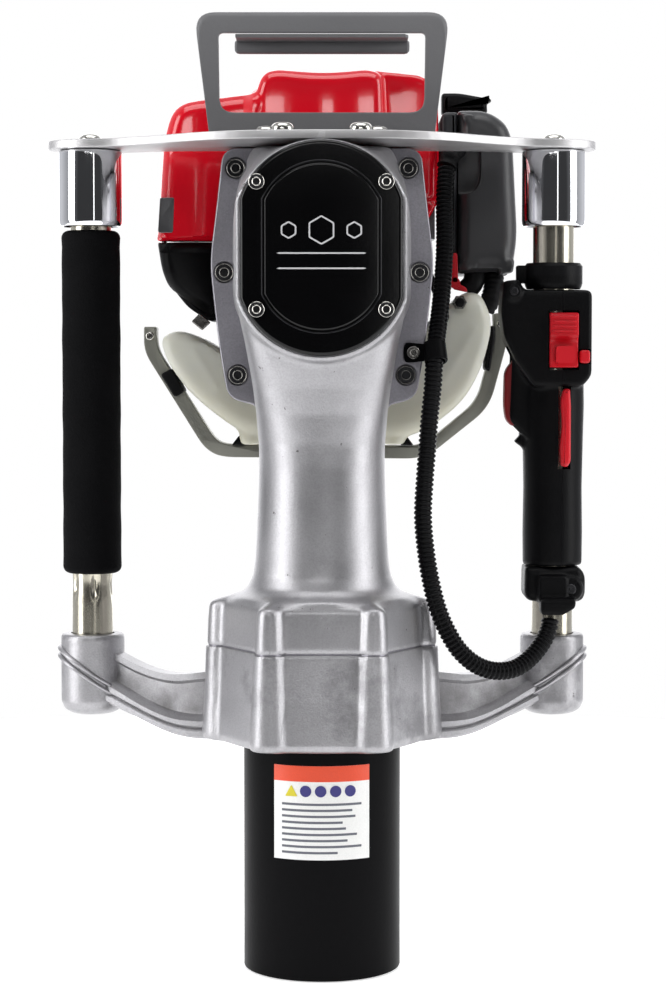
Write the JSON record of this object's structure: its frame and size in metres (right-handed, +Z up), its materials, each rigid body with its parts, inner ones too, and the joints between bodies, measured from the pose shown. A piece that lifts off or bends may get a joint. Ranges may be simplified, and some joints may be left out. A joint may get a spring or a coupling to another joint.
{
  "type": "petrol post driver",
  "caption": "Two-handled petrol post driver: open steel barrel under a cast crank-driven hammer, with a small four-stroke engine, carry handle and throttle grip.",
  "frame": {"origin": "centre of the anvil striking face, on the barrel axis", "axes": "+Z up along the barrel, +X to the throttle handle side, +Y towards the engine"},
  "size_m": [0.338, 0.2732, 0.579],
  "materials": {
    "cast_aluminium": "bead-blasted casting",
    "machined_steel": "machined",
    "bronze_bush": "machined",
    "chrome": "mirror",
    "stainless_tube": "drawn tube",
    "black_paint": "satin",
    "grey_powder_coat": "satin",
    "blasted_steel": "blasted",
    "red_plastic": "gloss",
    "charcoal_plastic": "satin",
    "black_plastic": "satin",
    "tank_plastic": "milky",
    "rubber": "matt",
    "foam": "closed-cell foam"
  },
  "bodies": {
    "root": {"lower_casting": "cast_aluminium", "drive_housing": "cast_aluminium", "gear_case": "cast_aluminium", "clutch_housing": "cast_aluminium", "crankcase": "cast_aluminium", "cylinder_block": "cast_aluminium", "carburettor": "cast_aluminium", "cylinder_sleeve": "machined_steel", "crank_bearing": "machined_steel", "anvil_bush": "bronze_bush", "left_cap": "chrome", "right_cap": "chrome", "left_tube": "stainless_tube", "right_tube": "stainless_tube", "barrel": "black_paint", "head_cover": "black_paint", "conduit_clip": "black_paint", "carry_handle": "grey_powder_coat", "top_plate": "blasted_steel", "tank_guard": "blasted_steel", "muffler": "blasted_steel", "top_cover": "red_plastic", "muffler_guard": "charcoal_plastic", "air_filter_case": "charcoal_plastic", "fan_shroud": "charcoal_plastic", "recoil_cover": "charcoal_plastic", "grip_collar": "black_plastic", "grip_clamp": "black_plastic", "grip_inner_shell": "black_plastic", "grip_outer_shell": "black_plastic", "throttle_conduit": "black_plastic", "fuel_tank": "tank_plastic", "anvil_buffer": "rubber", "elbow_boot": "rubber", "spark_plug": "rubber", "foam_grip": "foam"},
    "anvil": {"anvil": "machined_steel", "anvil_retaining_ring": "machined_steel"},
    "striker": {"striker": "machined_steel"},
    "ram": {"ram_piston": "machined_steel", "wrist_pin": "machined_steel", "connecting_rod": "machined_steel"},
    "hammer_crank": {"hammer_crankshaft": "machined_steel", "drive_gear": "machined_steel"},
    "pinion": {"drive_pinion": "machined_steel", "clutch_drum": "machined_steel"},
    "engine_crank": {"engine_crankshaft": "machined_steel", "flywheel_fan": "cast_aluminium"},
    "engine_piston": {"engine_piston": "machined_steel"},
    "starter_pulley": {"starter_pulley": "black_plastic"},
    "starter_grip": {"starter_grip": "black_plastic"},
    "air_filter_cover": {"air_filter_cover": "charcoal_plastic"},
    "throttle_trigger": {"throttle_trigger": "red_plastic"},
    "lockout_lever": {"lockout_lever": "red_plastic"},
    "stop_rocker": {"stop_rocker": "red_plastic"},
    "lock_button": {"lock_button": "red_plastic"},
    "throttle_arm": {"throttle_arm": "machined_steel"},
    "choke_lever": {"choke_lever": "red_plastic"},
    "fuel_cap": {"fuel_cap": "black_plastic"},
    "primer_bulb": {"primer_bulb": "red_plastic"}
  },
  "joints": [
    {"name": "anvil_slide", "type": "slide", "parent": "root", "child": "anvil", "axis": [0, 0, 1], "range_m": [0, 0.01]},
    {"name": "striker_slide", "type": "slide", "parent": "root", "child": "striker", "axis": [0, 0, 1], "range_m": [0, 0.024]},
    {"name": "ram_slide", "type": "slide", "parent": "root", "child": "ram", "axis": [0, 0, 1], "range_m": [0, 0.036]},
    {"name": "hammer_crank_spin", "type": "hinge", "parent": "root", "child": "hammer_crank", "pos_m": [0, 0.03, 0.294], "axis": [0, 1, 0], "continuous": true},
    {"name": "pinion_spin", "type": "hinge", "parent": "root", "child": "pinion", "pos_m": [0, 0.06, 0.254], "axis": [0, 1, 0], "continuous": true},
    {"name": "engine_crank_spin", "type": "hinge", "parent": "root", "child": "engine_crank", "pos_m": [0, 0.12, 0.254], "axis": [0, 1, 0], "continuous": true},
    {"name": "engine_piston_slide", "type": "slide", "parent": "root", "child": "engine_piston", "axis": [0, 0, 1], "range_m": [0, 0.018]},
    {"name": "trigger_pivot", "type": "hinge", "parent": "root", "child": "throttle_trigger", "pos_m": [0.1255, 0.045, 0.227], "axis": [0, -1, 0], "range_deg": [0, 12], "stiffness_Nm_per_rad": 0.2},
    {"name": "throttle_arm_pivot", "type": "hinge", "parent": "root", "child": "throttle_arm", "pos_m": [0.058, 0.094, 0.33], "axis": [0, 1, 0], "range_deg": [0, 48]},
    {"name": "lockout_pivot", "type": "hinge", "parent": "root", "child": "lockout_lever", "pos_m": [0.149, 0.026, 0.208], "axis": [1, 0, 0], "range_deg": [0, 4.5], "stiffness_Nm_per_rad": 0.1},
    {"name": "stop_rocker_pivot", "type": "hinge", "parent": "root", "child": "stop_rocker", "pos_m": [0.1483, 0.026, 0.2405], "axis": [-1, 0, 0], "range_deg": [0, 8]},
    {"name": "lock_button_press", "type": "slide", "parent": "root", "child": "lock_button", "axis": [0, 1, 0], "range_m": [0, 0.003], "stiffness_N_per_m": 200},
    {"name": "choke_pivot", "type": "hinge", "parent": "root", "child": "choke_lever", "pos_m": [0.084, 0.083, 0.2775], "axis": [0, -1, 0], "range_deg": [0, 60]},
    {"name": "primer_press", "type": "slide", "parent": "root", "child": "primer_bulb", "axis": [0, 1, 0], "range_m": [0, 0.003], "stiffness_N_per_m": 200},
    {"name": "starter_pull", "type": "slide", "parent": "root", "child": "starter_grip", "axis": [0.1392, 0, 0.9903], "range_m": [0, 0.2], "stiffness_N_per_m": 8},
    {"name": "starter_pulley_spin", "type": "hinge", "parent": "root", "child": "starter_pulley", "pos_m": [0, 0.2, 0.254], "axis": [0, 1, 0], "range_deg": [0, 600]},
    {"name": "air_filter_cover_hinge", "type": "hinge", "parent": "root", "child": "air_filter_cover", "pos_m": [0.0861, 0.12, 0.388], "axis": [0, -1, 0], "range_deg": [0, 50]},
    {"name": "fuel_cap_off", "type": "slide", "parent": "root", "child": "fuel_cap", "axis": [0, 1, 0], "range_m": [0, 0.03]}
  ],
  "couplings": [
    {"joint": "pinion_spin", "follows": "hammer_crank_spin", "ratio": -4},
    {"joint": "throttle_arm_pivot", "follows": "trigger_pivot", "ratio": 4},
    {"joint": "starter_pulley_spin", "follows": "starter_pull", "rad_per_m": 50}
  ]
}
